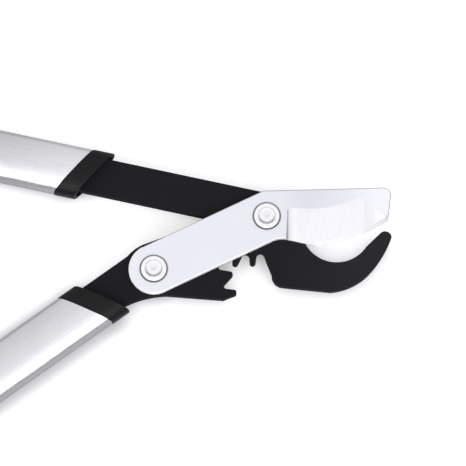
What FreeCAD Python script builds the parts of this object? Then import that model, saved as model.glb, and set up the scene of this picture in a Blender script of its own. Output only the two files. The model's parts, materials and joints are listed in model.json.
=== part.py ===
import FreeCAD, Part
import math
import os
from collections import namedtuple

from FreeCAD import Vector

# Geared bypass lopper lying on its nut side, in millimetres.
# The origin is on the main pivot's axis, in the plane that the tool rests on.
# +X runs along the blade towards its tip and +Z is up, along both pivot axes.

# Pivots: the main pivot is at the origin, the handle pivot is one gear centre distance behind it.
CENTRE_DISTANCE = 75.0
BAR_ANGLE = 25.56
MAIN_PIVOT = Vector(0, 0, 0)
HANDLE_PIVOT = Vector(
    -CENTRE_DISTANCE * math.cos(math.radians(BAR_ANGLE)),
    -CENTRE_DISTANCE * math.sin(math.radians(BAR_ANGLE)),
    0,
)

# Heights of the stacked layers above the resting plane.
REST_PLANE = 0.0
NUT_BOTTOM = 1.4
NUT_HEIGHT = 8.0
WASHER_THICKNESS = 1.5
RUNNING_GAP = 0.1
PLATE_THICKNESS = 6.0
BLADE_THICKNESS = 4.0
WASHER_BOTTOM = NUT_BOTTOM + NUT_HEIGHT
PLATE_BOTTOM = WASHER_BOTTOM + WASHER_THICKNESS + RUNNING_GAP
PLATE_TOP = PLATE_BOTTOM + PLATE_THICKNESS
PLATE_MIDDLE = PLATE_BOTTOM + PLATE_THICKNESS / 2
BLADE_BOTTOM = PLATE_TOP + RUNNING_GAP
BLADE_TOP = BLADE_BOTTOM + BLADE_THICKNESS

# Pivot hardware.
BOLT_RADIUS = 4.0
BUSH_RADIUS = 6.0
BUSH_BORE_RADIUS = BOLT_RADIUS + 0.05
HEAD_RADIUS = 7.8
HEAD_RIM_RADIUS = 7.1
HEAD_RIM_HEIGHT = 1.6
HEAD_BOSS_RADIUS = 5.2
HEAD_HEIGHT = 2.7
HEAD_DIMPLE_RADIUS = 1.4
HEAD_DIMPLE_DEPTH = 0.5
WASHER_RADIUS = 8.0
NUT_ACROSS_FLATS = 13.0
THREAD_CHAMFER = 0.8
NUT_COLLAR_HEIGHT = 2.0
NUT_CHAMFER = 0.7

# Blade plate.
BAR_HALF_WIDTH = 15.0
BLADE_CHAMFER = 0.5
EDGE_LAND = 0.9
TIP_LAND_RISE = 1.2
BEVEL_STEP = 2.4
HONED_RISE = 0.45
EDGE_OVERRUN = 0.5

# Gear sectors: teeth to a full turn, and the angle of the first tooth from the line of pivots.
GEAR_TEETH = 28
GEAR_TOOTH_COUNT = 5
GEAR_FIRST_TOOTH = 10.1
HOOK_TEETH = 21
HOOK_TOOTH_COUNT = 4
HOOK_FIRST_TOOTH = -4.4

# Tooth profiles: round tips and round gaps with straight flanks. A gap leans off the middle between
# its teeth by an angle. The last tooth and the last gap of each sector differ from the rest.
GEAR_TIP_RADIUS = 47.3
GEAR_ROOT_RADIUS = 38.7
GEAR_TIP_ROUND = 1.6
GEAR_GAP_ROUND = 1.9
GEAR_GAP_LEAN = -0.7
GEAR_LAST_TIP_RADIUS = 51.4
GEAR_LAST_ROOT_RADIUS = 42.9
GEAR_LAST_GAP_ANGLE = -12.3
HOOK_TIP_RADIUS = 35.2
HOOK_ROOT_RADIUS = 25.2
HOOK_TIP_ROUND = 1.8
HOOK_GAP_ROUND = 2.4
HOOK_GAP_LEAN = -1.7
HOOK_LAST_TIP_RADIUS = 30.3
HOOK_LAST_ROOT_RADIUS = 21.8
HOOK_LAST_GAP_ANGLE = 260.9

# Plates behind the teeth.
HOOK_HUB_RADIUS = 14.7
HOOK_SHOULDER = Vector(-0.2, -27.0, 0)
GEAR_HEEL = Vector(-24.8, -49.5, 0)
GEAR_BACK_CORNER = Vector(12.5, 22.8, 0)
GEAR_BACK_RADIUS = 17.0
GEAR_TANG_JOIN = 8.0

# Handles. Distances along a handle are measured from its own pivot, and offsets towards its outer side.
UPPER_ANGLE = 167.7
UPPER_TUBE_OFFSET = 3.3
UPPER_TANG_OFFSET = 3.6
UPPER_COLLAR_AT = 106.8
LOWER_ANGLE = 215.9
LOWER_TUBE_OFFSET = -4.2
LOWER_TANG_OFFSET = -4.9
LOWER_COLLAR_AT = 35.0
TANG_WIDTH = 22.6
TANG_REACH = 78.0
COLLAR_LENGTH = 12.7
COLLAR_SKEW = 30.0
COLLAR_PROUD = 0.3
COLLAR_RECESS = 2.0
SPIGOT_LENGTH = 84.0
HANDLE_LENGTH = 455.0

# Oval tube and grip sections: half the width and half the height. A power of 2 is an ellipse, and
# a higher one fills out its shoulders.
SECTION_POWER = 2.8
SECTION_POINTS = 32
TUBE_HALF = (15.5, 10.0)
TUBE_WALL = 1.8
CORE_WALL = 1.8
GRIP_LENGTH = 152.0
GUARD_LENGTH = 6.0
GUARD_HALF = (20.5, 13.6)
CAP_LENGTH = 12.0
CAP_HALF = (18.6, 13.8)
CAP_PLUG_LENGTH = 20.0
EYE_RADIUS = 10.0
EYE_THICKNESS = 12.0
EYE_HOLE_RADIUS = 4.0
EYE_REACH = 20.0

# Sections of the grip sleeve: distance behind the guard, then the half width and half height.
SLEEVE_SECTIONS = (
    (0, (18.2, 13.2)),
    (32, (18.6, 13.6)),
    (75, (17.9, 12.9)),
    (112, (18.8, 13.7)),
    (GRIP_LENGTH - GUARD_LENGTH - CAP_LENGTH, CAP_HALF),
)

# Tang screws, put in from the back face.
SCREW_RADIUS = 2.5
SCREW_HEAD_RADIUS = 4.5
SCREW_HEAD_HEIGHT = 2.2
SCREW_SPACING = 32.0
SCREW_FIRST = 26.0
SCREW_COUNT = 2

# Side is +1 where the handle's outer side is on its left, looking from its pivot to its end, else -1.
Handle = namedtuple("Handle", "pivot angle side tube_offset tang_offset collar_at")
UPPER = Handle(MAIN_PIVOT, UPPER_ANGLE, -1, UPPER_TUBE_OFFSET, UPPER_TANG_OFFSET, UPPER_COLLAR_AT)
LOWER = Handle(HANDLE_PIVOT, LOWER_ANGLE, 1, LOWER_TUBE_OFFSET, LOWER_TANG_OFFSET, LOWER_COLLAR_AT)

# A rounded tip, gap or corner: its circle's middle and radius, and the point that the outline goes through.
Round = namedtuple("Round", "middle radius through")

UP = Vector(0, 0, 1)


def point(x, y, z=0.0):
    return Vector(x, y, z)


def polar(centre, radius, angle):
    """Point at a radius and an angle in degrees round a centre."""
    turn = math.radians(angle)
    return centre + Vector(radius * math.cos(turn), radius * math.sin(turn), 0)


def trace(start, steps):
    """Face inside a closed outline. A step of one point is a straight side; of two, an arc through and to."""
    edges = []
    here = start
    for step in steps:
        if len(step) == 2:
            edges.append(Part.Arc(here, step[0], step[1]).toShape())
        else:
            edges.append(Part.LineSegment(here, step[0]).toShape())
        here = step[-1]
    if here.distanceToPoint(start) > 1e-6:
        edges.append(Part.LineSegment(here, start).toShape())
    return Part.Face(Part.Wire(edges))


def slab(face, bottom, top):
    """Plate of a flat outline between two heights."""
    solid = face.extrude(UP * (top - bottom))
    solid.translate(UP * bottom)
    return solid


def rod(centre, radius, bottom, top):
    return Part.makeCylinder(radius, top - bottom, centre + UP * bottom)


def save(name, shape):
    if not shape.isValid():
        raise ValueError(name + " is not a valid shape")
    shape.exportStep("parts/" + name + ".step")
    print(name, len(shape.Solids), round(shape.Volume, 1))


# ---- blade plate ----


def blade_outline():
    """Bar round the handle pivot, running into the blade with its straight spine and curved cutting edge."""
    rear_top = polar(HANDLE_PIVOT, BAR_HALF_WIDTH, BAR_ANGLE + 90)
    rear_bottom = polar(HANDLE_PIVOT, BAR_HALF_WIDTH, BAR_ANGLE - 90)
    rear_end = polar(HANDLE_PIVOT, BAR_HALF_WIDTH, BAR_ANGLE + 180)
    return trace(rear_bottom, [
        (rear_end, rear_top),
        (point(-3.2, 15.05),),
        (point(-1.6, 15.6), point(0.2, 15.7)),
        (point(68.6, 17.5),),
        (point(73.1, 16.4), point(74.6, 12.6)),
        (point(72.8, -2.4),),
        (point(52.4, -12.3), point(31.5, -17.6)),
        (point(29.9, -17.75), point(28.3, -17.5)),
        (point(13.2, -14.1),),
        (point(8.0, -13.65), point(3.2, -15.05)),
    ])


def grind(upper, lower):
    """Cutter that takes away everything above a ruled surface between two edges."""
    return Part.makeRuledSurface(upper.toShape(), lower.toShape()).extrude(UP * BLADE_THICKNESS * 2)


def grind_window():
    """Outline of the ground area: a round run-out behind the edge and a peak over the tip facet."""
    return trace(point(11.2, -24), [
        (point(12.3, 0.5),),
        (point(13.2, 4.6), point(17.0, 6.0)),
        (point(34.0, 5.2), point(56.4, 11.6)),
        (point(72.2, 0.6),),
        (point(80, -6),),
        (point(80, -24),),
    ])


def cutting_edge_arc(inset, height):
    """The curved cutting edge, moved into the blade by an inset and set at a height."""
    return Part.Arc(
        point(72.8 - inset * 0.45, -2.4 + inset * 0.9, height),
        point(52.4 - inset * 0.3, -12.3 + inset * 0.95, height),
        point(29.0 - inset * 0.1, -18.0 + inset, height),
    )


def chamfered_slab(face, bottom, top, chamfer):
    """Plate with a small chamfer round its top face."""
    plate = slab(face, bottom, top)
    rim = [edge for edge in plate.Edges if edge.BoundBox.ZMin > top - chamfer]
    return plate.makeChamfer(chamfer, rim)


def cutting_blade():
    plate = chamfered_slab(blade_outline(), BLADE_BOTTOM, BLADE_TOP, BLADE_CHAMFER)
    land = BLADE_BOTTOM + EDGE_LAND
    ridge_top = point(57.2, 12.3, BLADE_TOP)
    ridge_foot = point(59.2, -10.2, land)
    bevel_top = Part.Arc(point(9, 6.4, BLADE_TOP), point(34, 5.0, BLADE_TOP), ridge_top)
    bevel_foot = Part.Arc(point(9, -20.5, land), point(34, -18.9, land), ridge_foot)
    tip_top = Part.LineSegment(ridge_top, point(75.2, -1.6, BLADE_TOP))
    tip_foot = Part.LineSegment(ridge_foot, point(74.4, -2.2, land + TIP_LAND_RISE))
    honed_top = cutting_edge_arc(BEVEL_STEP, land + HONED_RISE)
    honed_foot = cutting_edge_arc(-EDGE_OVERRUN, BLADE_BOTTOM - RUNNING_GAP)
    window = slab(grind_window(), BLADE_BOTTOM, BLADE_TOP + BLADE_THICKNESS)
    plate = plate.cut(grind(bevel_top, bevel_foot).common(window))
    plate = plate.cut(grind(tip_top, tip_foot).common(window))
    plate = plate.cut(grind(honed_top, honed_foot))
    for pivot in (MAIN_PIVOT, HANDLE_PIVOT):
        plate = plate.cut(rod(pivot, BOLT_RADIUS, BLADE_BOTTOM - 1, BLADE_TOP + 1))
    return plate


# ---- gear sectors ----


def tooth_tip(centre, radius, angle, size):
    return Round(polar(centre, radius - size, angle), size, polar(centre, radius, angle))


def tooth_gap(centre, radius, angle, size):
    return Round(polar(centre, radius + size, angle), size, polar(centre, radius, angle))


def corner(place):
    return Round(place, 0, place)


def flank(first, second, turn):
    """Ends of the straight side that leaves one round and crosses over to the other side of the next."""
    between = second.middle - first.middle
    bearing = math.degrees(math.atan2(between.y, between.x))
    swing = math.degrees(math.acos((first.radius + second.radius) / between.Length))
    square = bearing + turn * swing
    return polar(first.middle, first.radius, square), polar(second.middle, -second.radius, square)


def weave(rounds, turn):
    """Steps from a corner, round each tip and gap in a row, to another corner. The outline keeps tips
    and gaps on opposite sides, so turn changes sign at every round."""
    steps = []
    for first, second in zip(rounds, rounds[1:]):
        leave, arrive = flank(first, second, turn)
        if first.radius > 0:
            steps.append((first.through, leave))
        steps.append((arrive,))
        turn = -turn
    return steps


def gear_rounds():
    """Back corner of the gear plate, a gap and a tip for each tooth, and the heel below the last one."""
    pitch = 360 / GEAR_TEETH
    rounds = [corner(HANDLE_PIVOT + GEAR_BACK_CORNER)]
    for index in range(GEAR_TOOTH_COUNT - 1):
        angle = BAR_ANGLE + GEAR_FIRST_TOOTH - pitch * index
        gap_angle = angle + pitch / 2 + GEAR_GAP_LEAN
        rounds.append(tooth_gap(HANDLE_PIVOT, GEAR_ROOT_RADIUS, gap_angle, GEAR_GAP_ROUND))
        rounds.append(tooth_tip(HANDLE_PIVOT, GEAR_TIP_RADIUS, angle, GEAR_TIP_ROUND))
    last_angle = BAR_ANGLE + GEAR_FIRST_TOOTH - pitch * (GEAR_TOOTH_COUNT - 1)
    rounds.append(tooth_gap(HANDLE_PIVOT, GEAR_LAST_ROOT_RADIUS, GEAR_LAST_GAP_ANGLE, GEAR_GAP_ROUND))
    rounds.append(tooth_tip(HANDLE_PIVOT, GEAR_LAST_TIP_RADIUS, last_angle, GEAR_TIP_ROUND))
    rounds.append(corner(GEAR_HEEL))
    return rounds


def hook_rounds():
    """A corner inside the tang, a gap and a tip for each tooth, the deep last gap and the hook's shoulder."""
    pitch = 360 / HOOK_TEETH
    tip_radii = [HOOK_TIP_RADIUS] * (HOOK_TOOTH_COUNT - 1) + [HOOK_LAST_TIP_RADIUS]
    rounds = [corner(polar(MAIN_PIVOT, HOOK_TIP_RADIUS, UPPER_ANGLE))]
    for index, tip_radius in enumerate(tip_radii):
        angle = BAR_ANGLE + 180 + HOOK_FIRST_TOOTH + pitch * index
        gap_angle = angle - pitch / 2 + HOOK_GAP_LEAN
        rounds.append(tooth_gap(MAIN_PIVOT, HOOK_ROOT_RADIUS, gap_angle, HOOK_GAP_ROUND))
        rounds.append(tooth_tip(MAIN_PIVOT, tip_radius, angle, HOOK_TIP_ROUND))
    rounds.append(tooth_gap(MAIN_PIVOT, HOOK_LAST_ROOT_RADIUS, HOOK_LAST_GAP_ANGLE, HOOK_GAP_ROUND))
    rounds.append(corner(HOOK_SHOULDER))
    return rounds


# ---- black plates ----


def hook_sector():
    """Gear sector round the main pivot, from the tang to the hook's shoulder."""
    rounds = hook_rounds()
    return trace(rounds[0].middle, weave(rounds, -1) + [(MAIN_PIVOT,)])


def hook_outline():
    """Hook counter blade from the hub, round its throat and tip, and back along its outer edge."""
    return trace(MAIN_PIVOT, [
        (polar(MAIN_PIVOT, HOOK_HUB_RADIUS, 14),),
        (point(21.4, -11.5),),
        (point(42.4, -27.5), point(59.6, -18.0)),
        (point(68.4, -9.4),),
        (point(72.4, -8.7), point(74.9, -11.8)),
        (point(68.2, -25.2), point(60.7, -34.8)),
        (point(50.8, -41.8), point(38.0, -45.2)),
        (point(9.0, -42.2),),
        (point(4.7, -39.9), point(2.9, -34.8)),
        (HOOK_SHOULDER,),
    ])


def stand(shape, handle):
    """Place a shape drawn along +X from the origin onto a handle's line."""
    placed = shape.copy()
    placed.rotate(Vector(0, 0, 0), UP, handle.angle)
    placed.translate(handle.pivot)
    return placed


def stand_point(place, handle):
    """The same move for one point."""
    return stand(Part.Vertex(place), handle).Point


def tube_start(handle):
    return handle.collar_at + COLLAR_LENGTH


def tube_end(handle):
    return handle.collar_at + HANDLE_LENGTH - CAP_LENGTH


def centre_line(handle):
    return handle.side * handle.tube_offset


def tang_edges(handle):
    """The tang's right-hand and left-hand edges, across the handle."""
    middle = handle.side * handle.tang_offset
    return middle - TANG_WIDTH / 2, middle + TANG_WIDTH / 2


def tang(handle):
    """Flat strap from the hub into the tube."""
    right, left = tang_edges(handle)
    reach = tube_start(handle) + TANG_REACH
    face = trace(point(0, right), [
        (point(reach, right),),
        (point(reach, left),),
        (point(0, left),),
    ])
    return stand(face, handle)


def screw_centres(handle):
    """Places of the tang screws along the handle."""
    first = tube_start(handle) + SCREW_FIRST
    return [point(first + SCREW_SPACING * index, centre_line(handle)) for index in range(SCREW_COUNT)]


def fuse_plate(faces, handle):
    """One plate from overlapping outlines, with a bush hole and threaded screw holes."""
    plate = slab(faces[0], PLATE_BOTTOM, PLATE_TOP)
    for face in faces[1:]:
        plate = plate.fuse(slab(face, PLATE_BOTTOM, PLATE_TOP))
    plate = plate.cut(rod(handle.pivot, BUSH_RADIUS, PLATE_BOTTOM - 1, PLATE_TOP + 1))
    for centre in screw_centres(handle):
        hole = rod(stand_point(centre, handle), SCREW_RADIUS, PLATE_BOTTOM - 1, PLATE_TOP + 1)
        plate = plate.cut(hole)
    return plate.removeSplitter()


def hook_jaw():
    hub = Part.Face(Part.Wire(Part.Circle(MAIN_PIVOT, UP, HOOK_HUB_RADIUS).toShape()))
    return fuse_plate([hub, hook_outline(), hook_sector(), tang(UPPER)], UPPER)


def gear_outline():
    """Gear sector round the handle pivot, with its hollow lower edge and straight upper edge."""
    rounds = gear_rounds()
    tang_corner = point(GEAR_TANG_JOIN, tang_edges(LOWER)[0])
    steps = weave(rounds, 1) + [
        (point(-25.8, -50.0), point(-27.4, -50.0)),
        (point(-60.5, -47.4),),
        (point(-73.5, -49.4), point(-86.5, -54.6)),
        (HANDLE_PIVOT,),
        (stand_point(tang_corner, LOWER),),
        (polar(HANDLE_PIVOT, GEAR_BACK_RADIUS, 122), polar(HANDLE_PIVOT, GEAR_BACK_RADIUS, 112)),
    ]
    return trace(rounds[0].middle, steps)


def gear_plate():
    return fuse_plate([gear_outline(), tang(LOWER)], LOWER)


# ---- pivot hardware ----


def turned(centre, start, steps):
    """Solid of revolution about a vertical axis; outline points are (radius, 0, height)."""
    solid = trace(start, steps).revolve(Vector(0, 0, 0), UP, 360)
    solid.translate(centre)
    return solid


def pivot_bolt(centre):
    """Shouldered bolt with a low flanged head, a raised boss and a small dimple."""
    flange = BLADE_TOP + 0.6
    rim = BLADE_TOP + HEAD_RIM_HEIGHT
    top = BLADE_TOP + HEAD_HEIGHT
    return turned(centre, point(0, 0, REST_PLANE), [
        (point(BOLT_RADIUS - THREAD_CHAMFER, 0, REST_PLANE),),
        (point(BOLT_RADIUS, 0, REST_PLANE + THREAD_CHAMFER),),
        (point(BOLT_RADIUS, 0, BLADE_TOP),),
        (point(HEAD_RADIUS, 0, BLADE_TOP),),
        (point(HEAD_RADIUS, 0, flange),),
        (point(HEAD_RADIUS - 0.15, 0, rim - 0.35), point(HEAD_RIM_RADIUS, 0, rim)),
        (point(HEAD_BOSS_RADIUS + 0.5, 0, rim),),
        (point(HEAD_BOSS_RADIUS + 0.1, 0, rim + 0.1), point(HEAD_BOSS_RADIUS, 0, rim + 0.4)),
        (point(HEAD_BOSS_RADIUS - 0.3, 0, top - 0.2), point(HEAD_BOSS_RADIUS - 1.1, 0, top)),
        (point(HEAD_DIMPLE_RADIUS, 0, top),),
        (point(HEAD_DIMPLE_RADIUS - HEAD_DIMPLE_DEPTH, 0, top - HEAD_DIMPLE_DEPTH),),
        (point(0, 0, top - HEAD_DIMPLE_DEPTH),),
    ])


def pivot_washer(centre):
    top = WASHER_BOTTOM + WASHER_THICKNESS
    ring = rod(centre, WASHER_RADIUS, WASHER_BOTTOM, top)
    return ring.cut(rod(centre, BOLT_RADIUS, WASHER_BOTTOM - 1, top + 1))


def pivot_nut(centre):
    """Hexagon nut with its corners chamfered off and a narrower locking collar at the free end."""
    corner_radius = NUT_ACROSS_FLATS / math.sqrt(3)
    flat_radius = NUT_ACROSS_FLATS / 2
    corners = [(polar(centre, corner_radius, 60 * index),) for index in range(1, 6)]
    hexagon = slab(trace(polar(centre, corner_radius, 0), corners), NUT_BOTTOM, WASHER_BOTTOM)
    shoulder = NUT_BOTTOM + NUT_COLLAR_HEIGHT
    envelope = turned(centre, point(0, 0, NUT_BOTTOM), [
        (point(flat_radius - 1.6, 0, NUT_BOTTOM),),
        (point(flat_radius - 0.9, 0, NUT_BOTTOM + 0.4), point(flat_radius - 0.6, 0, shoulder)),
        (point(corner_radius, 0, shoulder + NUT_CHAMFER),),
        (point(corner_radius, 0, WASHER_BOTTOM),),
        (point(0, 0, WASHER_BOTTOM),),
    ])
    return hexagon.common(envelope).cut(rod(centre, BOLT_RADIUS, NUT_BOTTOM - 1, WASHER_BOTTOM + 1))


def pivot_bush(centre):
    ring = rod(centre, BUSH_RADIUS, PLATE_BOTTOM, PLATE_TOP)
    return ring.cut(rod(centre, BUSH_BORE_RADIUS, PLATE_BOTTOM - 1, PLATE_TOP + 1))


# ---- handles, drawn along +X from their pivot and then stood on their line ----


def full_shoulder(share):
    """A sine or cosine drawn out so that the oval's shoulders fill."""
    return math.copysign(abs(share) ** (2 / SECTION_POWER), share)


def oval(half, at, handle):
    """Upright oval wire across a handle at a distance along it."""
    points = []
    for index in range(SECTION_POINTS):
        turn = 2 * math.pi * index / SECTION_POINTS
        across = half[0] * full_shoulder(math.cos(turn))
        rise = half[1] * full_shoulder(math.sin(turn))
        points.append(Vector(at, centre_line(handle) + across, PLATE_MIDDLE + rise))
    curve = Part.BSplineCurve()
    curve.interpolate(Points=points, PeriodicFlag=True)
    return Part.Wire(curve.toShape())


def oval_bar(half, start, end, handle):
    """Solid oval bar between two distances along a handle."""
    return Part.Face(oval(half, start, handle)).extrude(Vector(end - start, 0, 0))


def inset(half, wall):
    return (half[0] - wall, half[1] - wall)


def skewed_block(start, end, handle):
    """Block across a handle whose two end faces lean towards the head on the outer side."""
    reach = 2 * GUARD_HALF[0]
    lean = reach * math.tan(math.radians(COLLAR_SKEW))
    inner = centre_line(handle) - handle.side * reach
    outer = centre_line(handle) + handle.side * reach
    face = trace(point(start + lean, inner), [
        (point(start - lean, outer),),
        (point(end - lean, outer),),
        (point(end + lean, inner),),
    ])
    return slab(face, REST_PLANE, 2 * PLATE_MIDDLE)


def screw_holes(handle):
    """Cutters for the screws, through the lower wall of the tube and the spigot."""
    return [rod(centre, SCREW_RADIUS, REST_PLANE - 1, PLATE_MIDDLE) for centre in screw_centres(handle)]


def handle_tube(handle):
    """Oval tube whose head end is cut square to the collar's lean."""
    end = tube_end(handle)
    tube = oval_bar(TUBE_HALF, 0, end, handle)
    tube = tube.cut(oval_bar(inset(TUBE_HALF, TUBE_WALL), -1, end + 1, handle))
    tube = tube.common(skewed_block(tube_start(handle), 2 * end, handle))
    return tube.cut(screw_holes(handle))


def collar(handle):
    """Leaning collar, dished round the tang, with a long spigot that fills the tube's mouth."""
    start = tube_start(handle)
    end = tube_end(handle)
    floor = handle.collar_at + COLLAR_RECESS
    bore = inset(TUBE_HALF, TUBE_WALL)
    right = tang_edges(handle)[0]
    slot = Part.makeBox(end, TANG_WIDTH, PLATE_THICKNESS, Vector(0, right, PLATE_BOTTOM))
    ring = oval_bar(inset(TUBE_HALF, -COLLAR_PROUD), 0, end, handle)
    ring = ring.common(skewed_block(handle.collar_at, start, handle))
    dish = oval_bar(bore, 0, end, handle).common(skewed_block(0, floor, handle))
    spigot = oval_bar(bore, 0, start + SPIGOT_LENGTH, handle)
    spigot = spigot.common(skewed_block(floor, 2 * end, handle))
    return ring.cut(dish).fuse(spigot).removeSplitter().cut([slot] + screw_holes(handle))


def tang_screws(handle):
    """Two pan-head screws from the back face into the tang."""
    tube_bottom = PLATE_MIDDLE - TUBE_HALF[1]
    screws = []
    for centre in screw_centres(handle):
        shank = rod(centre, SCREW_RADIUS, tube_bottom, PLATE_TOP)
        head = rod(centre, SCREW_HEAD_RADIUS, tube_bottom - SCREW_HEAD_HEIGHT, tube_bottom)
        screws.append(shank.fuse(head).removeSplitter())
    return Part.makeCompound(screws)


def grip_start(handle):
    return handle.collar_at + HANDLE_LENGTH - GRIP_LENGTH


def grip_core(handle):
    """Thin moulded core over the tube, with a hand guard at its head end."""
    start = grip_start(handle)
    end = tube_end(handle)
    core = oval_bar(inset(TUBE_HALF, -CORE_WALL), start, end, handle)
    core = core.fuse(oval_bar(GUARD_HALF, start, start + GUARD_LENGTH, handle))
    return core.cut(oval_bar(TUBE_HALF, start - 1, end + 1, handle))


def grip_sleeve(handle):
    """Gently swelling rubber sleeve over the core."""
    start = grip_start(handle) + GUARD_LENGTH
    sleeve = Part.makeLoft([oval(half, start + along, handle) for along, half in SLEEVE_SECTIONS], True)
    return sleeve.cut(oval_bar(inset(TUBE_HALF, -CORE_WALL), start - 1, tube_end(handle) + 1, handle))


def end_cap(handle):
    """Cap with a plug in the tube and a hanging eye."""
    start = tube_end(handle)
    bottom = PLATE_MIDDLE - EYE_THICKNESS / 2
    eye_centre = point(start + EYE_REACH, centre_line(handle))
    corner = Vector(start, centre_line(handle) - EYE_RADIUS, bottom)
    cap = oval_bar(CAP_HALF, start, start + CAP_LENGTH, handle)
    plug = oval_bar(inset(TUBE_HALF, TUBE_WALL), start - CAP_PLUG_LENGTH, start, handle)
    eye = rod(eye_centre, EYE_RADIUS, bottom, bottom + EYE_THICKNESS)
    neck = Part.makeBox(EYE_REACH, 2 * EYE_RADIUS, EYE_THICKNESS, corner)
    hole = rod(eye_centre, EYE_HOLE_RADIUS, bottom - 1, bottom + EYE_THICKNESS + 1)
    return cap.fuse([plug, eye, neck]).cut(hole).removeSplitter()


HANDLE_PIECES = (handle_tube, collar, tang_screws, grip_core, grip_sleeve, end_cap)

os.makedirs("parts", exist_ok=True)

save("cutting_blade", cutting_blade())
save("hook_jaw", hook_jaw())
save("gear_plate", gear_plate())
for pivot_name, pivot_centre in (("main_pivot", MAIN_PIVOT), ("handle_pivot", HANDLE_PIVOT)):
    save(pivot_name + "_bolt", pivot_bolt(pivot_centre))
    save(pivot_name + "_washer", pivot_washer(pivot_centre))
    save(pivot_name + "_nut", pivot_nut(pivot_centre))
    save(pivot_name + "_bush", pivot_bush(pivot_centre))
for side_name, handle_line in (("upper", UPPER), ("lower", LOWER)):
    for build_piece in HANDLE_PIECES:
        save(side_name + "_" + build_piece.__name__, stand(build_piece(handle_line), handle_line))
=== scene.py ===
import json
import math

import bmesh
import bpy
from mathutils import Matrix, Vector


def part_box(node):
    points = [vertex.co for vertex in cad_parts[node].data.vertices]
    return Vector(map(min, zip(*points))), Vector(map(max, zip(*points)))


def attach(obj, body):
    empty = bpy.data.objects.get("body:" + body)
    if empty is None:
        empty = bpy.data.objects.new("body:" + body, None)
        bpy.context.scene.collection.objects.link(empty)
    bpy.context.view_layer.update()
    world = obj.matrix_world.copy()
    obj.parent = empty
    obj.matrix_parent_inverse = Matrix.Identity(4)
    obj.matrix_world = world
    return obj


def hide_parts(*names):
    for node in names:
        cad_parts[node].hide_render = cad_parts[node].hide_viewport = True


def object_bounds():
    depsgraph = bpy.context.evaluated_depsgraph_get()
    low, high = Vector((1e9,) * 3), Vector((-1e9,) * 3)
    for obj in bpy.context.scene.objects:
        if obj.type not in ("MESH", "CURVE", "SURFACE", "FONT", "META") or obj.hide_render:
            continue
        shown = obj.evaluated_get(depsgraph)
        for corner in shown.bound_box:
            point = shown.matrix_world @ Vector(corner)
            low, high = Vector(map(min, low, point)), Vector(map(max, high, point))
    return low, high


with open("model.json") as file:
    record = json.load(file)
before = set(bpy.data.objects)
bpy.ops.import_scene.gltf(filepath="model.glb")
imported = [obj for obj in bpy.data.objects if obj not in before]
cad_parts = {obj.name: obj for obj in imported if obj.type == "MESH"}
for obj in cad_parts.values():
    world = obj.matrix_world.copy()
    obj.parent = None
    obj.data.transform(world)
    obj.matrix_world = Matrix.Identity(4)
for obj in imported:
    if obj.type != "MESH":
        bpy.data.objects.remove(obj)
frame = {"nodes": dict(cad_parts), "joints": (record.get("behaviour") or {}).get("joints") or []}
CAD_LOW, CAD_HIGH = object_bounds()

# Lengths are in metres. The blade points east, along +X, with +Y north of it and +Z up.
MM = 0.001
WHITE = (1, 1, 1)
SIDES = ("upper", "lower")
BODY_PIVOTS = {joint["child"]: Vector(joint["pos_m"]) for joint in frame["joints"]}
PIVOTS = {side: BODY_PIVOTS[side + "_handle"] for side in SIDES}
# Direction of each handle away from the jaw, and of the blade's bar from the lower pivot to the upper one.
HANDLE_ANGLE = {"upper": math.radians(167.7), "lower": math.radians(215.9)}
BAR = PIVOTS["upper"] - PIVOTS["lower"]
BAR_ANGLE = math.atan2(BAR.y, BAR.x)
# The grips are centred on the height of the hook jaw's plate.
PLATE_LOW, PLATE_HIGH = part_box("hook_jaw")
PLATE_MIDDLE = (PLATE_LOW.z + PLATE_HIGH.z) / 2


# ---- node helpers ----


def new_material(name):
    """A material with its node tree and its Principled shader."""
    material = bpy.data.materials.new(name)
    material.use_nodes = True
    tree = material.node_tree
    return material, tree, tree.nodes["Principled BSDF"]


def add_node(tree, kind, **settings):
    """A node with plain attributes set by name."""
    node = tree.nodes.new(kind)
    for key, value in settings.items():
        setattr(node, key, value)
    return node


def set_inputs(node, **values):
    """Constant values for sockets; an underscore in a keyword stands for a space in the socket's name."""
    for key, value in values.items():
        node.inputs[key.replace("_", " ")].default_value = value


def calculate(tree, operation, *values):
    """The result of a Math node on the results of others."""
    node = add_node(tree, "ShaderNodeMath", operation=operation)
    for value, socket in zip(values, node.inputs):
        tree.links.new(value, socket)
    return node.outputs["Value"]


def remap(tree, value, low, high, from_low=0.25, from_high=0.75):
    """A value spread from one range to another and held at its ends; a noise keeps to about a middle half."""
    node = add_node(tree, "ShaderNodeMapRange")
    node.inputs["From Min"].default_value = from_low
    node.inputs["From Max"].default_value = from_high
    node.inputs["To Min"].default_value = low
    node.inputs["To Max"].default_value = high
    tree.links.new(value, node.inputs["Value"])
    return node.outputs["Result"]


def blend_colours(tree, factor, first, second):
    """One fixed colour where the factor is 0 and another where it is 1."""
    mix = add_node(tree, "ShaderNodeMix", data_type="RGBA")
    mix.inputs["A"].default_value = (*first, 1)
    mix.inputs["B"].default_value = (*second, 1)
    tree.links.new(factor, mix.inputs["Factor"])
    return mix.outputs["Result"]


def mottle(tree, texture, first, second):
    """A colour that wanders between two with a noise."""
    return blend_colours(tree, remap(tree, texture, 0, 1), first, second)


def choose(tree, factor, first, second):
    """One colour or value where the factor is 0 and another where it is 1."""
    mix = add_node(tree, "ShaderNodeMix", data_type="RGBA")
    tree.links.new(factor, mix.inputs["Factor"])
    tree.links.new(first, mix.inputs["A"])
    tree.links.new(second, mix.inputs["B"])
    return mix.outputs["Result"]


def multiply(tree, first, second, share=None):
    """One colour darkened by another, either everywhere or by a share that varies from 0 to 1."""
    mix = add_node(tree, "ShaderNodeMix", data_type="RGBA", blend_type="MULTIPLY")
    mix.inputs["Factor"].default_value = 1.0
    if share is not None:
        tree.links.new(share, mix.inputs["Factor"])
    tree.links.new(first, mix.inputs["A"])
    tree.links.new(second, mix.inputs["B"])
    return mix.outputs["Result"]


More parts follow.
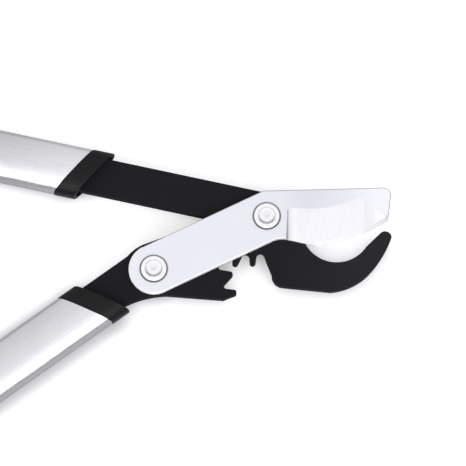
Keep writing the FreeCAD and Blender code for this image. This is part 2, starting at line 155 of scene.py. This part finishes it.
def add_bump(tree, shader, height, distance, strength):
    bump = add_node(tree, "ShaderNodeBump")
    bump.inputs["Strength"].default_value = strength
    bump.inputs["Distance"].default_value = distance
    tree.links.new(height, bump.inputs["Height"])
    tree.links.new(bump.outputs["Normal"], shader.inputs["Normal"])


# ---- values that change with place and direction ----


def object_space(tree, angle=0.0, scale=(1, 1, 1)):
    """Object coordinates turned so that +X runs along a direction, then stretched."""
    coordinates = add_node(tree, "ShaderNodeTexCoord")
    turn = add_node(tree, "ShaderNodeMapping", vector_type="TEXTURE")
    turn.inputs["Rotation"].default_value = (0, 0, angle)
    stretch = add_node(tree, "ShaderNodeMapping")
    stretch.inputs["Scale"].default_value = scale
    tree.links.new(coordinates.outputs["Object"], turn.inputs["Vector"])
    tree.links.new(turn.outputs["Vector"], stretch.inputs["Vector"])
    return stretch.outputs["Vector"]


def noise(tree, vector, scale, detail):
    texture = add_node(tree, "ShaderNodeTexNoise")
    set_inputs(texture, Scale=scale, Detail=detail)
    tree.links.new(vector, texture.inputs["Vector"])
    return texture.outputs["Fac"]


def coordinate(tree, kind, axis):
    """One number of a place ("Object", in metres) or a direction ("Normal"; the sky's is "Generated")."""
    coordinates = add_node(tree, "ShaderNodeTexCoord")
    split = add_node(tree, "ShaderNodeSeparateXYZ")
    tree.links.new(coordinates.outputs[kind], split.inputs["Vector"])
    return split.outputs[axis]


def along_axis(tree, axis, low, high, from_low, from_high):
    """A value that changes with one object coordinate, in metres."""
    return remap(tree, coordinate(tree, "Object", axis), low, high, from_low, from_high)


def sloping(tree, steep, flat):
    """1 where the upward part of a surface's direction is under the steep limit, and 0 above the flat one."""
    return remap(tree, coordinate(tree, "Normal", "Z"), 1, 0, steep, flat)


def radius_from(tree, centre):
    """Distance in metres from a vertical axis."""
    coordinates = add_node(tree, "ShaderNodeTexCoord")
    shift = add_node(tree, "ShaderNodeVectorMath", operation="SUBTRACT")
    shift.inputs[1].default_value = centre
    flatten = add_node(tree, "ShaderNodeVectorMath", operation="MULTIPLY")
    flatten.inputs[1].default_value = (1, 1, 0)
    length = add_node(tree, "ShaderNodeVectorMath", operation="LENGTH")
    tree.links.new(coordinates.outputs["Object"], shift.inputs[0])
    tree.links.new(shift.outputs["Vector"], flatten.inputs[0])
    tree.links.new(flatten.outputs["Vector"], length.inputs[0])
    return length.outputs["Value"]


def fill_ramp(ramp, stops):
    """Set a colour ramp's stops, each a place from 0 to 1 and a colour, with the lowest first."""
    elements = ramp.color_ramp.elements
    for index, (place, colour) in enumerate(stops):
        element = elements[index] if index < 2 else elements.new(place)
        element.position = place
        element.color = (*colour, 1)


def grey_ramp(tree, value, stops):
    """Grey that changes with a value in metres; stops are (millimetres, grey), with the lowest first."""
    ramp = add_node(tree, "ShaderNodeValToRGB")
    low = stops[0][0]
    reach = stops[-1][0] - low
    fill_ramp(ramp, [((distance - low) / reach, (grey, grey, grey)) for distance, grey in stops])
    tree.links.new(remap(tree, value, 0, 1, low * MM, (low + reach) * MM), ramp.inputs["Fac"])
    return ramp.outputs["Color"]


# ---- blade steel ----

# Tone along X from the bar to the tip, and on the ground faces from where the grinding wheel ran out, with
# painted shade on the plunge wall there and a faint painted highlight beside it.
BLADE_TONES = ((-10, 0.985), (8, 0.97), (20, 0.91), (34, 0.92), (50, 0.99), (62, 1.06), (76, 1.07))
GROUND_TONE_AND_PLUNGE_SHADE = (
    (10.9, 0.25),
    (12.2, 0.40),
    (13.4, 0.90),
    (16.0, 1.03),
    (20.0, 1.0),
    (57.5, 1.0),
    (59.0, 0.93),
    (76.0, 0.90),
)
# Shade on the plate round a bolt head, by the distance from its axis.
PLATE_RING = ((0, 0.20), (8.25, 0.20), (8.9, 1.0))
# Steep and flat limits that tell apart the ground, honed and sawn faces.
GROUND_SLOPE = (0.994, 0.998)
HONED_SLOPE = (0.86, 0.97)
SAWN_SLOPE = (0.74, 0.84)
# A side gets painted shade where the north and east parts of its direction add up to more than this.
SHADED_SIDE_TURN = (0.22, 0.40)


def blade_faces(tree, ground, grinding):
    """Colour of the flat and ground faces, with painted shade on the honed edge and round the bolt heads."""
    patches = noise(tree, object_space(tree), 24, detail=2)
    length = coordinate(tree, "Object", "X")
    flat_colour = mottle(tree, patches, (0.86, 0.86, 0.915), (0.90, 0.90, 0.955))
    flat_colour = multiply(tree, flat_colour, grey_ramp(tree, length, BLADE_TONES))
    ground_colour = mottle(tree, grinding, (0.76, 0.76, 0.79), (0.83, 0.83, 0.85))
    # Painted shade and a faint painted highlight at the plunge, then tone along the ground faces.
    ground_colour = multiply(tree, ground_colour, grey_ramp(tree, length, GROUND_TONE_AND_PLUNGE_SHADE))
    # Painted shade on the steep honed edge.
    honed = blend_colours(tree, sloping(tree, *HONED_SLOPE), WHITE, (0.58, 0.58, 0.59))
    colour = multiply(tree, choose(tree, ground, flat_colour, ground_colour), honed)
    for pivot in PIVOTS.values():
        colour = multiply(tree, colour, grey_ramp(tree, radius_from(tree, pivot), PLATE_RING))
    return colour


def blade_steel():
    """Satin plated steel, faintly grained along the bar, with ground faces and pale sawn sides, and painted
    shade on the sides that face north and east.
    """
    material, tree, shader = new_material("blade_steel")
    grain = noise(tree, object_space(tree, BAR_ANGLE, (1, 14, 1)), 260, detail=4)
    grinding = noise(tree, object_space(tree, 0, (16, 1, 1)), 120, detail=5)
    ground = sloping(tree, *GROUND_SLOPE)
    sawn = sloping(tree, *SAWN_SLOPE)
    marks = choose(tree, ground, grain, grinding)
    sawn_colour = mottle(tree, grain, (0.86, 0.86, 0.88), (0.94, 0.94, 0.95))
    colour = choose(tree, sawn, blade_faces(tree, ground, grinding), sawn_colour)
    # Painted shade on the sides that face north and east.
    turn = calculate(tree, "ADD", coordinate(tree, "Normal", "X"), coordinate(tree, "Normal", "Y"))
    side_shade = blend_colours(tree, remap(tree, turn, 0, 1, *SHADED_SIDE_TURN), WHITE, (0.36, 0.36, 0.38))
    tree.links.new(multiply(tree, colour, side_shade), shader.inputs["Base Color"])
    tree.links.new(remap(tree, marks, 0.42, 0.54), shader.inputs["Roughness"])
    tree.links.new(remap(tree, sawn, 1.0, 0.1, 0, 1), shader.inputs["Metallic"])
    add_bump(tree, shader, marks, 0.02 * MM, 0.4)
    return material


# ---- other metal, plastic and rubber ----

# X places between which the coating turns paler.
COATING_FADE = (0, 60 * MM)
# Painted light along X on the tubes, which are painted brighter by their collars.
TUBE_PAINTED_LIGHT = {
    "upper": ((-156, 0.97), (-136, 1.09), (-117, 1.19)),
    "lower": ((-160, 1.03), (-118, 1.05)),
}
# Painted shade on a bolt head's dimple and under its rim, by the distance from its axis.
HEAD_SHADES = ((0, 0.84), (1.4, 0.88), (2.6, 0.95), (4.0, 1.0), (7.3, 1.0), (7.75, 0.45))
# The band round the head's boss that gets painted shade on its south side, and where that painted shade fades
# out, along Y.
BOSS_SHADE_BAND = ((3.7, 0), (4.5, 1), (5.1, 1), (5.7, 0))
BOSS_SHADE_FADE = (-3.5 * MM, 1.5 * MM)


def black_coating():
    """Dull black low-friction coating, a little paler towards the working end of the jaw."""
    material, tree, shader = new_material("black_coating")
    fine = noise(tree, object_space(tree), 900, detail=2)
    patches = noise(tree, object_space(tree), 30, detail=3)
    near = mottle(tree, patches, (0.0085, 0.0085, 0.0105), (0.0105, 0.0105, 0.0125))
    far = mottle(tree, patches, (0.014, 0.014, 0.017), (0.018, 0.018, 0.021))
    colour = choose(tree, along_axis(tree, "X", 0, 1, *COATING_FADE), near, far)
    tree.links.new(colour, shader.inputs["Base Color"])
    tree.links.new(remap(tree, patches, 0.56, 0.68), shader.inputs["Roughness"])
    set_inputs(shader, Specular_IOR_Level=0.08)
    add_bump(tree, shader, fine, 0.02 * MM, 0.4)
    return material


def moulded_black(name, roughness, grain_scale, grain_depth):
    """Moulded black plastic with a fine grain."""
    material, tree, shader = new_material(name)
    grain = noise(tree, object_space(tree), grain_scale, detail=2)
    patches = noise(tree, object_space(tree), 40, detail=2)
    colour = mottle(tree, patches, (0.006, 0.006, 0.007), (0.010, 0.010, 0.011))
    tree.links.new(colour, shader.inputs["Base Color"])
    tree.links.new(remap(tree, grain, roughness, roughness + 0.08), shader.inputs["Roughness"])
    set_inputs(shader, Specular_IOR_Level=0.15)
    add_bump(tree, shader, grain, grain_depth, 0.5)
    return material


def tube_aluminium(side):
    """Satin anodised tube, drawn along its length, with painted light that brightens it towards its collar.
    """
    material, tree, shader = new_material(side + "_tube_aluminium")
    lines = noise(tree, object_space(tree, HANDLE_ANGLE[side], (1, 30, 30)), 60, detail=4)
    colour = mottle(tree, lines, (0.74, 0.74, 0.765), (0.80, 0.80, 0.825))
    # Painted light: brighter towards the collar.
    tone = grey_ramp(tree, coordinate(tree, "Object", "X"), TUBE_PAINTED_LIGHT[side])
    tree.links.new(multiply(tree, colour, tone), shader.inputs["Base Color"])
    tree.links.new(remap(tree, lines, 0.22, 0.30), shader.inputs["Roughness"])
    set_inputs(shader, Metallic=1.0)
    add_bump(tree, shader, lines, 0.01 * MM, 0.1)
    return material


def turn_on_lathe(tree, shader, centre, roughness):
    """Bare metal with fine rings round an axis, as a lathe leaves them."""
    rings = add_node(tree, "ShaderNodeTexNoise", noise_dimensions="1D")
    set_inputs(rings, Scale=2600.0, Detail=2.0)
    tree.links.new(radius_from(tree, centre), rings.inputs["W"])
    tree.links.new(remap(tree, rings.outputs["Fac"], roughness, roughness + 0.1), shader.inputs["Roughness"])
    set_inputs(shader, Metallic=1.0)
    add_bump(tree, shader, rings.outputs["Fac"], 0.02 * MM, 0.3)


def turned_steel(name, centre, roughness, colour, worn_colour):
    """Turned steel with faint patches of wear."""
    material, tree, shader = new_material(name)
    turn_on_lathe(tree, shader, centre, roughness)
    patches = noise(tree, object_space(tree), 300, detail=2)
    tree.links.new(mottle(tree, patches, colour, worn_colour), shader.inputs["Base Color"])
    return material


def bolt_head(name, centre):
    """Turned steel with painted shade that picks out the head's rim, the south side of its boss and its
    dimple.
    """
    material, tree, shader = new_material(name)
    turn_on_lathe(tree, shader, centre, 0.42)
    patches = noise(tree, object_space(tree), 300, detail=2)
    radius = radius_from(tree, centre)
    steel = mottle(tree, patches, WHITE, (0.96, 0.96, 0.97))
    # Painted shade in the dimple and under the rim.
    rimmed = multiply(tree, steel, grey_ramp(tree, radius, HEAD_SHADES))
    fade = [centre.y + distance for distance in BOSS_SHADE_FADE]
    # Painted shade on the south side of the boss.
    shade = blend_colours(tree, along_axis(tree, "Y", 1, 0, *fade), WHITE, (0.34, 0.34, 0.35))
    shaded = multiply(tree, rimmed, shade, share=grey_ramp(tree, radius, BOSS_SHADE_BAND))
    tree.links.new(shaded, shader.inputs["Base Color"])
    return material


def grip_rubber():
    """Soft matte rubber with a fine pebble."""
    material, tree, shader = new_material("grip_rubber")
    pebble = noise(tree, object_space(tree), 1400, detail=2)
    patches = noise(tree, object_space(tree), 35, detail=3)
    colour = mottle(tree, patches, (0.022, 0.022, 0.024), (0.032, 0.032, 0.034))
    tree.links.new(colour, shader.inputs["Base Color"])
    tree.links.new(remap(tree, pebble, 0.62, 0.78), shader.inputs["Roughness"])
    set_inputs(shader, Specular_IOR_Level=0.4)
    add_bump(tree, shader, pebble, 0.06 * MM, 0.6)
    return material


# ---- ribbed grip sleeves ----

# Sections of a sleeve: the share of its length from the guard, then its half width and half height.
GRIP_SECTIONS = (
    (0.00, 18.2, 13.2),
    (0.24, 18.6, 13.6),
    (0.56, 17.9, 12.9),
    (0.84, 18.8, 13.7),
    (1.00, 18.6, 13.8),
)
# Power of the oval: 2 is an ellipse, and more fills out its shoulders.
GRIP_POWER = 2.8
# Half width and half height of the opening for the grip's core.
GRIP_BORE = (17.3 * MM, 11.8 * MM)
GRIP_STEP = 0.5 * MM
GRIP_AROUND = 72
GRIP_TURNS = [2 * math.pi * column / GRIP_AROUND for column in range(GRIP_AROUND)]
LIP_ROUND = 0.7 * MM
RIB_PITCH = 4.0 * MM
RIB_DEPTH = 0.45 * MM
# The ribs start this far from each lip, and deepen from nothing over the fade.
RIB_MARGIN = 9.0 * MM
RIB_FADE = 2.0 * MM
# Half height of the palm side's plain strip and the fade beside it, as sines of the turn round the sleeve.
PALM_PLAIN = 0.18
PALM_FADE = 0.30


def smooth(share):
    """A share held between 0 and 1 and eased at both ends."""
    share = min(max(share, 0.0), 1.0)
    return share * share * (3 - 2 * share)


def grip_half(share):
    """Half width and half height of the sleeve at a share of its length."""
    before, after = next(pair for pair in zip(GRIP_SECTIONS, GRIP_SECTIONS[1:]) if share <= pair[1][0])
    blend = smooth((share - before[0]) / (after[0] - before[0]))
    return [(low + (high - low) * blend) * MM for low, high in zip(before[1:], after[1:])]


def full_shoulder(share):
    """A sine or cosine drawn out so that the oval's shoulders fill."""
    return math.copysign(abs(share) ** (2 / GRIP_POWER), share)


def rib_depth(along, length, turn):
    """Depth of the grooves between ribs: full round the finger side, and none on the palm or by the lips."""
    ends = smooth((min(along, length - along) - RIB_MARGIN) / RIB_FADE)
    sides = smooth((abs(math.sin(turn)) - PALM_PLAIN) / PALM_FADE) if math.cos(turn) < 0 else 1.0
    wave = 0.5 - 0.5 * math.cos(2 * math.pi * (along - RIB_MARGIN) / RIB_PITCH)
    return RIB_DEPTH * ends * sides * wave ** 2


def lip_depth(along, length):
    """How far the quarter round of a lip lies under the sleeve's side."""
    rise = 1 - min(along, length - along, LIP_ROUND) / LIP_ROUND
    return LIP_ROUND * (1 - math.sqrt(max(0.0, 1 - rise ** 2)))


def add_ring(mesh, centre, outward, half, depths):
    """Oval ring of points round a centre, each under the plain oval by its own depth."""
    ring = []
    for turn, depth in zip(GRIP_TURNS, depths):
        across = (half[0] - depth) * full_shoulder(math.cos(turn))
        rise = (half[1] - depth) * full_shoulder(math.sin(turn))
        ring.append(mesh.verts.new(centre + outward * across + Vector((0, 0, rise))))
    return ring


def add_band(mesh, ring, following, smooth_faces):
    """Faces between two rings."""
    for column in range(GRIP_AROUND):
        beside = (column + 1) % GRIP_AROUND
        face = mesh.faces.new((ring[column], ring[beside], following[beside], following[column]))
        face.smooth = smooth_faces


def sleeve_mesh(start, along_handle, outward, length):
    """The ribbed skin, the bore inside it and the ends that join them."""
    mesh = bmesh.new()
    rows = round(length / GRIP_STEP)
    rings = []
    for row in range(rows + 1):
        along = length * row / rows
        depths = [rib_depth(along, length, turn) + lip_depth(along, length) for turn in GRIP_TURNS]
        rings.append(add_ring(mesh, start + along_handle * along, outward, grip_half(row / rows), depths))
    for ring, following in zip(rings, rings[1:]):
        add_band(mesh, ring, following, True)
    plain = [0.0] * GRIP_AROUND
    near_bore = add_ring(mesh, start, outward, GRIP_BORE, plain)
    far_bore = add_ring(mesh, start + along_handle * length, outward, GRIP_BORE, plain)
    add_band(mesh, rings[-1], far_bore, False)
    add_band(mesh, far_bore, near_bore, True)
    add_band(mesh, near_bore, rings[0], False)
    bmesh.ops.recalc_face_normals(mesh, faces=mesh.faces)
    return mesh


def ribbed_sleeve(side, rubber):
    """Rubber sleeve in place of the plain one, with rounded lips and fine ribs round the finger side."""
    node = side + "_grip_sleeve"
    angle = HANDLE_ANGLE[side]
    along_handle = Vector((math.cos(angle), math.sin(angle), 0))
    across_handle = Vector((-math.sin(angle), math.cos(angle), 0))
    reaches = [vertex.co.dot(along_handle) for vertex in frame["nodes"][node].data.vertices]
    offsets = [vertex.co.dot(across_handle) for vertex in frame["nodes"][node].data.vertices]
    middle = across_handle * (min(offsets) + max(offsets)) / 2 + Vector((0, 0, PLATE_MIDDLE))
    start = along_handle * min(reaches) + middle
    outward = across_handle * (-1 if side == "upper" else 1)
    mesh = sleeve_mesh(start, along_handle, outward, max(reaches) - min(reaches))
    data = bpy.data.meshes.new(side + "_ribbed_sleeve")
    mesh.to_mesh(data)
    mesh.free()
    data.materials.append(rubber)
    sleeve = bpy.data.objects.new(side + "_ribbed_sleeve", data)
    bpy.context.collection.objects.link(sleeve)
    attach(sleeve, side + "_handle")
    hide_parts(node)


# ---- looks of the CAD nodes ----

# Widths of the rounds on sharp edges, and the turns in degrees over which an edge is sharp.
PLATE_ROUND = 0.35 * MM
COLLAR_ROUND = 0.6 * MM
GRIP_ROUND = 1.2 * MM
SCREW_ROUND = 0.4 * MM
PLATE_TURN = 35
MOULDED_TURN = 40
# Points closer than this are joined, and faces whose planes differ by less, in degrees, become one.
WELD_REACH = 0.001 * MM
FLAT_TURN = 0.02


def paint(node, material):
    """Give a carried-over CAD node one material."""
    mesh = frame["nodes"][node].data
    mesh.materials.clear()
    mesh.materials.append(material)


def dress_nodes():
    """A material for each CAD node, and ribbed sleeves in place of the plain ones."""
    paint("cutting_blade", blade_steel())
    coating = black_coating()
    collar = moulded_black("collar_plastic", roughness=0.30, grain_scale=1600, grain_depth=0.01 * MM)
    plastic = moulded_black("grip_plastic", roughness=0.45, grain_scale=1500, grain_depth=0.05 * MM)
    rubber = grip_rubber()
    paint("hook_jaw", coating)
    paint("gear_plate", coating)
    for side, pivot in (("upper", "main_pivot"), ("lower", "handle_pivot")):
        centre = PIVOTS[side]
        bright = turned_steel(pivot + "_bright", centre, 0.34, (0.93, 0.93, 0.94), (0.86, 0.86, 0.87))
        paint(pivot + "_bolt", bolt_head(pivot + "_head", centre))
        for piece in (pivot + "_washer", pivot + "_nut", side + "_tang_screws"):
            paint(piece, bright)
        sintered = turned_steel(pivot + "_sintered", centre, 0.4, (0.42, 0.40, 0.37), (0.39, 0.37, 0.34))
        paint(pivot + "_bush", sintered)
        paint(side + "_handle_tube", tube_aluminium(side))
        paint(side + "_collar", collar)
        paint(side + "_grip_core", plastic)
        paint(side + "_end_cap", plastic)
        ribbed_sleeve(side, rubber)


def ease_edges(node, width, turn, segments=2, clamp=False):
    """Small rounds on a CAD node's sharp edges, cut into the solid so that it never grows."""
    piece = frame["nodes"][node]
    weld = piece.modifiers.new("weld", "WELD")
    weld.merge_threshold = WELD_REACH
    flats = piece.modifiers.new("flats", "DECIMATE")
    flats.decimate_type = "DISSOLVE"
    flats.angle_limit = math.radians(FLAT_TURN)
    bevel = piece.modifiers.new("edges", "BEVEL")
    bevel.width = width
    bevel.segments = segments
    bevel.limit_method = "ANGLE"
    bevel.angle_limit = math.radians(turn)
    bevel.use_clamp_overlap = clamp
    normals = piece.modifiers.new("normals", "WEIGHTED_NORMAL")
    normals.keep_sharp = True


def ease_all_edges():
    """Rounds on the plates and on the handles' moulded parts and screws."""
    for plate in ("hook_jaw", "gear_plate"):
        ease_edges(plate, PLATE_ROUND, PLATE_TURN, clamp=True)
    for side in SIDES:
        ease_edges(side + "_collar", COLLAR_ROUND, MOULDED_TURN, segments=3)
        ease_edges(side + "_grip_core", GRIP_ROUND, MOULDED_TURN, segments=3, clamp=True)
        ease_edges(side + "_end_cap", GRIP_ROUND, MOULDED_TURN, segments=3, clamp=True)
        ease_edges(side + "_tang_screws", SCREW_ROUND, MOULDED_TURN)


# ---- studio ----

CAMERA_TARGET = Vector((-20.25, -9.53, 17.0)) * MM
CAMERA_ELEVATION = math.radians(77)
CAMERA_DISTANCE = 2.6
CAMERA_CLIP = (0.05, 50)
VIEW_WIDTH = 279.6 * MM
SENSOR_WIDTH = 36.0

FLOOR_WIDTH = 12.0
FLOOR_GAP = 0.1 * MM
# The floor's glow, the share of it that is left in the closest corners, and how far those shadows reach.
FLOOR_GLOW = 0.57
CLOSED_SHARE = 0.1
CONTACT_REACH = 14 * MM
# Openness to the light, from 0 to 1, at which the glow is least and full.
OPENNESS_LIMITS = (0.58, 0.98)
# More light gets under the upper handle than under the lower one, and less, as a share of that, by the jaw.
UPPER_OPENNESS = 0.22
JAW_SHARE = -0.22
# X and Y places between which those two change.
OPENNESS_EAST = (-60 * MM, 10 * MM)
OPENNESS_NORTH = (-60 * MM, 10 * MM)

# The key light leans south and a little east of straight overhead.
KEY_SOUTH = math.radians(42)
KEY_EAST = math.radians(4)
KEY_DISTANCE = 4.5
KEY_WIDTH = 6.0
KEY_DEPTH = 3.6
KEY_POWER = 95

# Grey of the surround by the lean from overhead towards the south, in degrees, and how much bluer than grey.
SKY_TONES = (
    (-100, 0.66),
    (-25, 0.76),
    (-10, 0.84),
    (2, 1.10),
    (24, 1.15),
    (66, 1.05),
    (74, 0.22),
    (100, 0.20),
)
SKY_BLUE = 1.02


def floor_white():
    """Softly glowing white studio sheet with painted shadow where its glow dims near the parts, dimmer in
    reflections so that it doesn't flare in polished sides.
    """
    material, tree, shader = new_material("studio_floor")
    reflected = add_node(tree, "ShaderNodeLightPath").outputs["Is Glossy Ray"]
    patches = noise(tree, object_space(tree), 3, detail=2)
    colour = add_node(tree, "ShaderNodeMix", data_type="RGBA")
    colour.inputs["B"].default_value = (0.42, 0.42, 0.43, 1)
    tree.links.new(reflected, colour.inputs["Factor"])
    tree.links.new(mottle(tree, patches, (0.62, 0.62, 0.63), (0.63, 0.63, 0.64)), colour.inputs["A"])
    tree.links.new(colour.outputs["Result"], shader.inputs["Base Color"])
    # Painted shadow: the glow dims where parts are close above the floor, more by the jaw and less under the
    # upper handle.
    contact = add_node(tree, "ShaderNodeAmbientOcclusion", samples=16)
    contact.inputs["Distance"].default_value = CONTACT_REACH
    east = along_axis(tree, "X", 1, JAW_SHARE, *OPENNESS_EAST)
    north = along_axis(tree, "Y", 0, UPPER_OPENNESS, *OPENNESS_NORTH)
    openness = calculate(tree, "MULTIPLY_ADD", east, north, contact.outputs["AO"])
    glow = remap(tree, openness, FLOOR_GLOW * CLOSED_SHARE, FLOOR_GLOW, *OPENNESS_LIMITS)
    seen_glow = calculate(tree, "MULTIPLY", glow, remap(tree, reflected, 1.0, 0.0, 0, 1))
    tree.links.new(seen_glow, shader.inputs["Emission Strength"])
    set_inputs(shader, Roughness=0.9, Specular_IOR_Level=0.1, Emission_Color=(1, 1, 1, 1))
    return material


def place_camera():
    """Camera south of the object, looking steeply down at it."""
    data = bpy.data.cameras.new("camera")
    data.sensor_width = SENSOR_WIDTH
    data.lens = SENSOR_WIDTH * CAMERA_DISTANCE / VIEW_WIDTH
    data.clip_start, data.clip_end = CAMERA_CLIP
    camera = bpy.data.objects.new("camera", data)
    back = Vector((0, -math.cos(CAMERA_ELEVATION), math.sin(CAMERA_ELEVATION)))
    camera.location = CAMERA_TARGET + back * CAMERA_DISTANCE
    camera.rotation_euler = (math.pi / 2 - CAMERA_ELEVATION, 0, 0)
    bpy.context.collection.objects.link(camera)
    bpy.context.scene.camera = camera


def lay_floor():
    """Square sheet just under the object."""
    half = FLOOR_WIDTH / 2
    mesh = bpy.data.meshes.new("floor")
    corners = [(-half, -half, 0), (half, -half, 0), (half, half, 0), (-half, half, 0)]
    mesh.from_pydata(corners, [], [(0, 1, 2, 3)])
    floor = bpy.data.objects.new("floor", mesh)
    floor.location.z = CAD_LOW.z - FLOOR_GAP
    bpy.context.collection.objects.link(floor)
    mesh.materials.append(floor_white())


def hang_key_light():
    """Large area light on a dome over the object, aimed at the main pivot."""
    data = bpy.data.lights.new("key_softbox", "AREA")
    data.shape = "RECTANGLE"
    data.size = KEY_WIDTH
    data.size_y = KEY_DEPTH
    data.energy = KEY_POWER
    light = bpy.data.objects.new("key_softbox", data)
    direction = Vector((math.tan(KEY_EAST), -math.tan(KEY_SOUTH), 1)).normalized()
    light.location = direction * KEY_DISTANCE
    light.rotation_mode = "QUATERNION"
    light.rotation_quaternion = direction.to_track_quat("Z", "Y")
    bpy.context.collection.objects.link(light)


def light_world():
    """Pale surround, brightest from overhead to low in the south, and dark by the southern horizon."""
    world = bpy.data.worlds.new("studio")
    bpy.context.scene.world = world
    world.use_nodes = True
    tree = world.node_tree
    background = tree.nodes["Background"]
    south = remap(tree, coordinate(tree, "Generated", "Y"), 1, -1, -1, 1)
    lean = calculate(tree, "ARCTAN2", south, coordinate(tree, "Generated", "Z"))
    ramp = add_node(tree, "ShaderNodeValToRGB")
    fill_ramp(ramp, [(degrees / 360 + 0.5, (grey, grey, grey * SKY_BLUE)) for degrees, grey in SKY_TONES])
    tree.links.new(remap(tree, lean, 0, 1, -math.pi, math.pi), ramp.inputs["Fac"])
    tree.links.new(ramp.outputs["Color"], background.inputs["Color"])
    background.inputs["Strength"].default_value = 1.0


bpy.context.scene.view_settings.view_transform = "Standard"
place_camera()
lay_floor()
light_world()
hang_key_light()
dress_nodes()
ease_all_edges()
